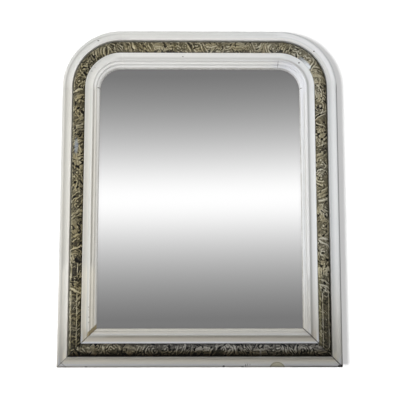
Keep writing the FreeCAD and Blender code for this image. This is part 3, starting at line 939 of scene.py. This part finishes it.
    def reeds(self, start, length, lean):
        """Sunk panel of a reeded stretch, with strokes across it and along its sides."""
        end = start + length
        panel = (self.along > start) & (self.along < end)
        panel &= (self.over > panel_over[0]) & (self.over < panel_over[1])
        self.height[panel] -= panel_depth
        along = start + 3.0
        while along < end - 3.0:
            bend = 5.0 * lean + self.jitter(5)
            broad = self.draw.uniform(1.8, 4.6)
            self.stroke(
                (along - 3 + self.jitter(3), -9 + self.jitter(3)),
                (along + bend, -2 + self.jitter(2)),
                (along - 1 + self.jitter(3), 4 + self.jitter(3)),
                (1.2, broad, 1.6), self.draw.uniform(0.0, 1.3))
            along += self.draw.choice((4.0, 6.0, 9.0, 13.0))
        for _ in range(round(length / 9)):
            along = start + self.draw.uniform(0, length)
            height = self.draw.uniform(0.8, 1.6)
            self.stroke((along - 5, -15), (along, -13), (along + 4, -11), (1.6, 3.4, 1.6), height)
            height = self.draw.uniform(0.8, 1.6)
            self.stroke((along - 4, 7), (along + 2, 11), (along + 4, 15), (1.6, 3.8, 1.6), height)

    def reed_lines(self, start, length):
        """The two reeds themselves, ruled along the band."""
        along = (self.ruled_along > start) & (self.ruled_along < start + length)
        for over in reed_places:
            away = (self.ruled_over[along] - over) / reed_half_width
            worn = 0.8 + 0.2 * np.sin(self.along[along] / reed_wear_wave + over)
            reed = reed_height * worn * np.sqrt(np.clip(1 - away ** 2, 0, 1))
            self.height[along] = np.maximum(self.height[along], reed)

    def lay(self, start, motifs):
        """Carve a row of motifs (kind, length, lean), one after the other."""
        kinds = {
            "spray": self.spray, "comb": self.comb, "leaf": self.leaf, "swirl": self.swirl,
            "beads": self.beads, "gap": self.gap, "reeds": self.reeds}
        for kind, length, lean in motifs:
            self.scatter(start, length, lean, round(length / ground_pitch), *ground_strokes)
            kinds[kind](start, length, lean)
            cuts = reed_cuts[lean] if kind == "reeds" else 1.0
            self.scatter(start, length, lean, round(cuts * length / fine_cut_pitch), *fine_cuts)
            self.scatter(start, length, lean, round(cuts * length / deep_cut_pitch), *deep_cuts)
            self.berries(start, length, round(length / berry_pitch))
            if kind == "reeds":
                self.reed_lines(start, length)
            start += length


stile_left_motifs = (
    ("swirl", 42, 1), ("reeds", 130, 1), ("spray", 34, -1), ("reeds", 34, 1), ("swirl", 30, -1),
    ("spray", 36, 1), ("leaf", 40, -1), ("spray", 18, 1), ("beads", 30, 1), ("gap", 10, 1),
    ("leaf", 34, 1), ("beads", 22, -1), ("leaf", 54, -1), ("gap", 10, 1), ("spray", 60, 1),
    ("leaf", 34, 1), ("spray", 40, 1))
stile_right_motifs = (
    ("leaf", 44, 1), ("reeds", 128, -1), ("spray", 36, 1), ("leaf", 36, -1), ("swirl", 36, 1),
    ("spray", 26, 1), ("swirl", 40, -1), ("leaf", 34, 1), ("spray", 44, -1), ("swirl", 40, 1),
    ("beads", 26, 1), ("spray", 34, -1), ("leaf", 40, -1), ("spray", 26, 1), ("gap", 8, -1),
    ("beads", 24, 1), ("leaf", 40, 1))
top_motifs = (
    ("comb", 74, 1), ("leaf", 52, 1), ("beads", 32, 1), ("gap", 14, 1), ("beads", 16, -1),
    ("gap", 10, 1), ("leaf", 36, 1), ("beads", 26, -1), ("leaf", 42, -1), ("comb", 24, 1),
    ("spray", 22, -1), ("swirl", 34, 1))
bottom_motifs = (
    ("spray", 44, -1), ("comb", 22, -1), ("leaf", 38, 1), ("swirl", 44, 1), ("leaf", 34, -1),
    ("comb", 26, 1), ("swirl", 34, -1), ("beads", 26, 1), ("comb", 46, 1), ("leaf", 42, 1),
    ("gap", 10, 1), ("swirl", 38, 1), ("comb", 48, -1), ("leaf", 40, -1), ("beads", 24, 1),
    ("comb", 34, -1), ("swirl", 36, 1), ("leaf", 46, -1))
corner_left_motifs = (
    ("beads", 24, 1), ("spray", 18, 1), ("gap", 10, -1), ("leaf", 28, 1), ("comb", 42, -1),
    ("gap", 8, -1), ("comb", 34, 1))
corner_right_motifs = (
    ("leaf", 30, 1), ("spray", 30, 1), ("gap", 8, -1), ("beads", 30, 1), ("beads", 28, -1),
    ("comb", 38, 1))


def stile_place(side):
    def place(along, across):
        return side * (half_width - across), along
    return place


def top_place(along, across):
    return along, half_height - across


def bottom_place(along, across):
    return along, across - half_height


def corner_place(side):
    """Round a top corner, from its stile's end to its rail's end."""
    crown_radius = corner_radius - band_middle
    turn = crown_radius * math.pi / 2

    def place(along, across):
        angle = np.clip((along - corner_leg) / crown_radius, 0, math.pi / 2)
        lead = np.minimum(along - corner_leg, 0)
        trail = np.maximum(along - corner_leg - turn, 0)
        reach = corner_radius - across
        x = -corner_x - reach * np.cos(angle) + trail
        z = corner_z + reach * np.sin(angle) + lead
        return -side * x, z
    return place, 2 * corner_leg + turn


def soften(field, times):
    """Even out a grid of heights with its neighbours."""
    for _ in range(times):
        padded = np.pad(field, 1, mode="edge")
        rows = (padded[:-2] + padded[1:-1] + padded[2:]) / 3
        field = (rows[:, :-2] + rows[:, 1:-1] + rows[:, 2:]) / 3
    return field


smooth_angle = math.radians(75)


def carved_band(name, place, start, end, mitres, motifs, seed):
    """A length of ornament band: half-round grid, carved, drawn back to its seat and closed."""
    rows = round((end - start) / grid_step)
    columns = round(2 * round_reach / grid_step)
    bpy.ops.object.select_all(action="DESELECT")
    bpy.ops.mesh.primitive_grid_add(x_subdivisions=rows, y_subdivisions=columns, size=2)
    piece = bpy.context.object
    piece.name = name
    piece.data.name = name
    corners = np.empty(len(piece.data.vertices) * 3)
    piece.data.vertices.foreach_get("co", corners)
    corners = corners.reshape(columns + 1, rows + 1, 3)
    angle = corners[..., 1] * round_angle
    across = band_middle + round_radius * np.sin(angle)
    first = start + (across + mitre_ease) * mitres[0]
    last = end - (across + mitre_ease) * mitres[1]
    along = first + (last - first) * (corners[..., 0] + 1) / 2
    over = round_radius * angle

    # Carve the grid
    carving = Carving(along, over, seed)
    carving.lay(start, motifs)
    crust = soften(np.random.default_rng(seed).normal(size=along.shape), crust_softening)
    relief = soften(carving.height, stroke_softening) + crust_height * crust
    ridge = relief - soften(relief, ridge_softening)
    edge = np.clip((round_reach - np.abs(over)) / (round_reach - carve_reach), 0, 1)
    raise_by = (relief - ground_depth) * edge - edge_depth * (1 - edge)
    across = across + raise_by * np.sin(angle)
    forward = band_crown_height - round_radius + (round_radius + raise_by) * np.cos(angle)
    x, z = place(along, across)
    shaped = np.stack((x, seat_y - forward, z), axis=-1) * MM
    piece.data.vertices.foreach_set("co", shaped.ravel())

    # Heights for the silver, from 0 in the deepest cuts to 1 on the highest ridges
    shares = {"relief": (relief + dark_depth) / relief_span, "ridge": 0.5 + ridge / ridge_span}
    for label, values in shares.items():
        layer = piece.data.attributes.new(label, "FLOAT", "POINT")
        layer.data.foreach_set("value", np.clip(values, 0, 1).ravel())

    # Sides and back
    bpy.ops.object.mode_set(mode="EDIT")
    bpy.ops.mesh.select_all(action="SELECT")
    bpy.ops.mesh.region_to_loop()
    bpy.ops.mesh.extrude_region_move()
    bpy.ops.transform.resize(value=(1, 0, 1), center_override=(0, seat_y * MM, 0))
    bpy.ops.mesh.edge_face_add()
    bpy.ops.mesh.select_all(action="SELECT")
    bpy.ops.mesh.normals_make_consistent(inside=False)
    bpy.ops.object.mode_set(mode="OBJECT")
    bpy.ops.object.shade_smooth_by_angle(angle=smooth_angle)
    piece.data.materials.append(silver)
    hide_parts(name.replace("carved_", "ornament_"))
    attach(piece, "frame")


# Each length: place, start, end, mitres at start and end, motifs, seed
stile_top = band_high.z
rail_end = node_box_mm("ornament_band_top")[1].x
carved_band("carved_band_left", stile_place(-1), -half_height, stile_top, (1, 0), stile_left_motifs, 11)
carved_band("carved_band_right", stile_place(1), -half_height, stile_top, (1, 0), stile_right_motifs, 12)
carved_band("carved_band_top", top_place, -rail_end, rail_end, (0, 0), top_motifs, 13)
carved_band("carved_band_bottom", bottom_place, -half_width, half_width, (1, 1), bottom_motifs, 14)
for side, word, motifs, seed in (
        (-1, "left", corner_left_motifs, 15), (1, "right", corner_right_motifs, 16)):
    round_corner, corner_length = corner_place(side)
    carved_band("carved_band_corner_" + word, round_corner, 0, corner_length, (0, 0), motifs, seed)


# Stage: a white wall behind the mirror, seen only from the front, a pale floor below, and a dark flag
# out of the camera's sight that keeps light off the foot

def stage_plane(name, size, location, turn, finish):
    bpy.ops.object.select_all(action="DESELECT")
    bpy.ops.mesh.primitive_plane_add(size=size, location=location, rotation=turn)
    plane = bpy.context.object
    plane.name = name
    plane.data.materials.append(finish)
    return plane


def stage_finish(name, colour, glow, one_sided=False):
    """Matt colour, with a glow of its own for the camera."""
    material = bpy.data.materials.new(name)
    material.use_nodes = True
    net = Net(material.node_tree)
    net.tree.nodes.clear()
    matt = net.add("ShaderNodeBsdfDiffuse", {"Color": colour})[0]
    strength = net.times(net.add("ShaderNodeLightPath")["Is Camera Ray"], glow)
    light = net.add("ShaderNodeEmission", {"Strength": strength})[0]
    surface = net.add("ShaderNodeAddShader", {0: matt, 1: light})[0]
    if one_sided:
        behind = net.add("ShaderNodeNewGeometry")["Backfacing"]
        clear = net.add("ShaderNodeBsdfTransparent")[0]
        surface = net.add("ShaderNodeMixShader", {0: behind, 1: surface, 2: clear})[0]
    net.add("ShaderNodeOutputMaterial", {"Surface": surface})
    return material


def hide(thing, *rays):
    """Keep a thing out of some kinds of ray."""
    for ray in rays:
        setattr(thing, "visible_" + ray, False)


facing_front = (math.radians(90), 0, 0)
flag_turn = (math.radians(90), math.radians(-4), 0)
wall_gap = 0.001
wall_size = 12.0
wall_matt = 0.1
wall_glow = 0.495
floor_size = 14.0
floor_drop = 0.6
floor_matt = 0.3
floor_glow = 0.97
flag_place = (0, -0.35, -0.55)
flag_size = (3.0, 0.5, 1)
flag_matt = 0.05
wall_finish = stage_finish("wall_white", grey(wall_matt), wall_glow, True)
wall = stage_plane("wall", wall_size, (0, wall_gap, 0), facing_front, wall_finish)
hide(wall, "diffuse", "glossy", "transmission", "shadow")
floor_finish = stage_finish("floor_pale", grey(floor_matt), floor_glow)
floor_place = (0, 0, -half_height * MM - floor_drop)
floor = stage_plane("floor", floor_size, floor_place, (0, 0, 0), floor_finish)
flag_finish = stage_finish("flag_dark", grey(flag_matt), 0.0)
flag = stage_plane("flag", 1.0, flag_place, flag_turn, flag_finish)
flag.scale = flag_size
hide(flag, "camera", "glossy", "transmission")


# Light

def aim(thing, place, target):
    thing.location = place
    direction = Vector(target) - Vector(place)
    thing.rotation_mode = "QUATERNION"
    thing.rotation_quaternion = direction.to_track_quat("-Z", "Y")


def light_set(name, things, only):
    """Things that a lamp lights or is shaded by: only these, or all but these."""
    chosen = bpy.data.collections.new(name)
    for thing in things:
        chosen.objects.link(thing)
    for entry in chosen.collection_objects:
        entry.light_linking.link_state = "INCLUDE" if only else "EXCLUDE"
    return chosen


mouldings = [piece for name, piece in nodes.items() if "_moulding_" in name]
only_wall = light_set("only_wall", [wall], True)
all_but_wall = light_set("all_but_wall", [wall], False)
all_but_stage = light_set("all_but_stage", [flag, floor], False)
all_but_mouldings = light_set("all_but_mouldings", mouldings, False)


def hang_up(name, data):
    """Put a lamp or camera in the scene."""
    holder = bpy.data.objects.new(name, data)
    bpy.context.scene.collection.objects.link(holder)
    return holder


def window(name, place, target, width, height, power, in_mirror):
    """A broad soft light, out of the camera's sight."""
    lamp = bpy.data.lights.new(name, "AREA")
    lamp.shape = "RECTANGLE"
    lamp.size = width
    lamp.size_y = height
    lamp.energy = power
    holder = hang_up(name, lamp)
    aim(holder, place, target)
    holder.visible_camera = False
    holder.visible_glossy = in_mirror
    holder.light_linking.receiver_collection = all_but_wall
    holder.light_linking.blocker_collection = all_but_mouldings


# Each window: place, aim, width, height, power, and whether the mirror shows it
frame_middle = (0, 0, 0)
top_rail = (0, -0.03, 0.36)
window("window_low", (-2.4, -1.1, -0.35), frame_middle, 1.0, 0.6, 19.0, True)
window("window_high", (-2.4, -1.1, 0.35), frame_middle, 1.0, 0.8, 5.3, True)
window("bounce_low", (-0.3, -1.6, -0.8), frame_middle, 1.2, 0.35, 1.1, True)
window("bounce_top", (0, -0.55, -0.05), top_rail, 1.0, 0.25, 1.08, False)

# A lamp for the wall alone, as bright far off as near, which draws the mirror's shadow
wall_lamp_place = (-0.92, -2.5, -0.4)
wall_lamp_size = 0.27
wall_lamp_power = 285.0
wall_lamp = bpy.data.lights.new("wall_lamp", "POINT")
wall_lamp.shadow_soft_size = wall_lamp_size
wall_lamp.energy = wall_lamp_power
wall_lamp.use_nodes = True
lamp_net = Net(wall_lamp.node_tree)
steady = lamp_net.add("ShaderNodeLightFalloff", {"Strength": 1.0})["Constant"]
lamp_net.fill(lamp_net.tree.nodes["Emission"].inputs["Strength"], steady)
wall_lamp_holder = hang_up("wall_lamp", wall_lamp)
wall_lamp_holder.location = wall_lamp_place
hide(wall_lamp_holder, "camera", "glossy")
wall_lamp_holder.light_linking.receiver_collection = only_wall
wall_lamp_holder.light_linking.blocker_collection = all_but_stage

# Soft band of light that the mirror shows: height and tilt of its bright line, half width of its core,
# how fast it falls off on either side, and the least light
glow_rise = 0.112
glow_tilt = math.radians(1.0)
glow_core = 0.035
glow_fall = 12.4
glow_least = 0.19
fill_below = 1.2
fill_above = 0.52
fill_change = (-0.6, 0.9)


def room_light():
    """White for the camera, a soft band of light in reflections, and a plain fill on everything else."""
    world = bpy.data.worlds.new("room")
    bpy.context.scene.world = world
    world.use_nodes = True
    net = Net(world.node_tree)
    toward = net.add("ShaderNodeTexCoord")["Generated"]
    level = net.add("ShaderNodeMapping", {"Vector": toward, "Rotation": (0, glow_tilt, 0)})[0]
    rise = net.axes(level)["Z"]
    off_line = net.less(rise, glow_rise)
    squared = net.plus(net.times(off_line, off_line), glow_core ** 2)
    away = net.less(net.calc("SQRT", squared), glow_core)
    glow = net.most(net.calc("EXPONENT", net.times(away, -glow_fall)), glow_least)
    paths = net.add("ShaderNodeLightPath")
    fill_light = net.blend(net.ease(rise, *fill_change), grey(fill_below), grey(fill_above))
    seen = net.blend(paths["Is Glossy Ray"], fill_light, glow)
    seen = net.blend(paths["Is Camera Ray"], seen, grey(1.0))
    net.fill(net.tree.nodes["Background"].inputs["Color"], seen)


room_light()

# Camera where the photograph was taken from
camera_place = (-0.0156, -1.7376, -0.1987)
camera_target = (0.00005, -0.048, -0.0114)
camera = bpy.data.cameras.new("camera")
camera.sensor_width = 36.0
camera.lens = 64.65
camera_holder = hang_up("camera", camera)
aim(camera_holder, camera_place, camera_target)
bpy.context.scene.camera = camera_holder
bpy.context.scene.view_settings.view_transform = "Standard"
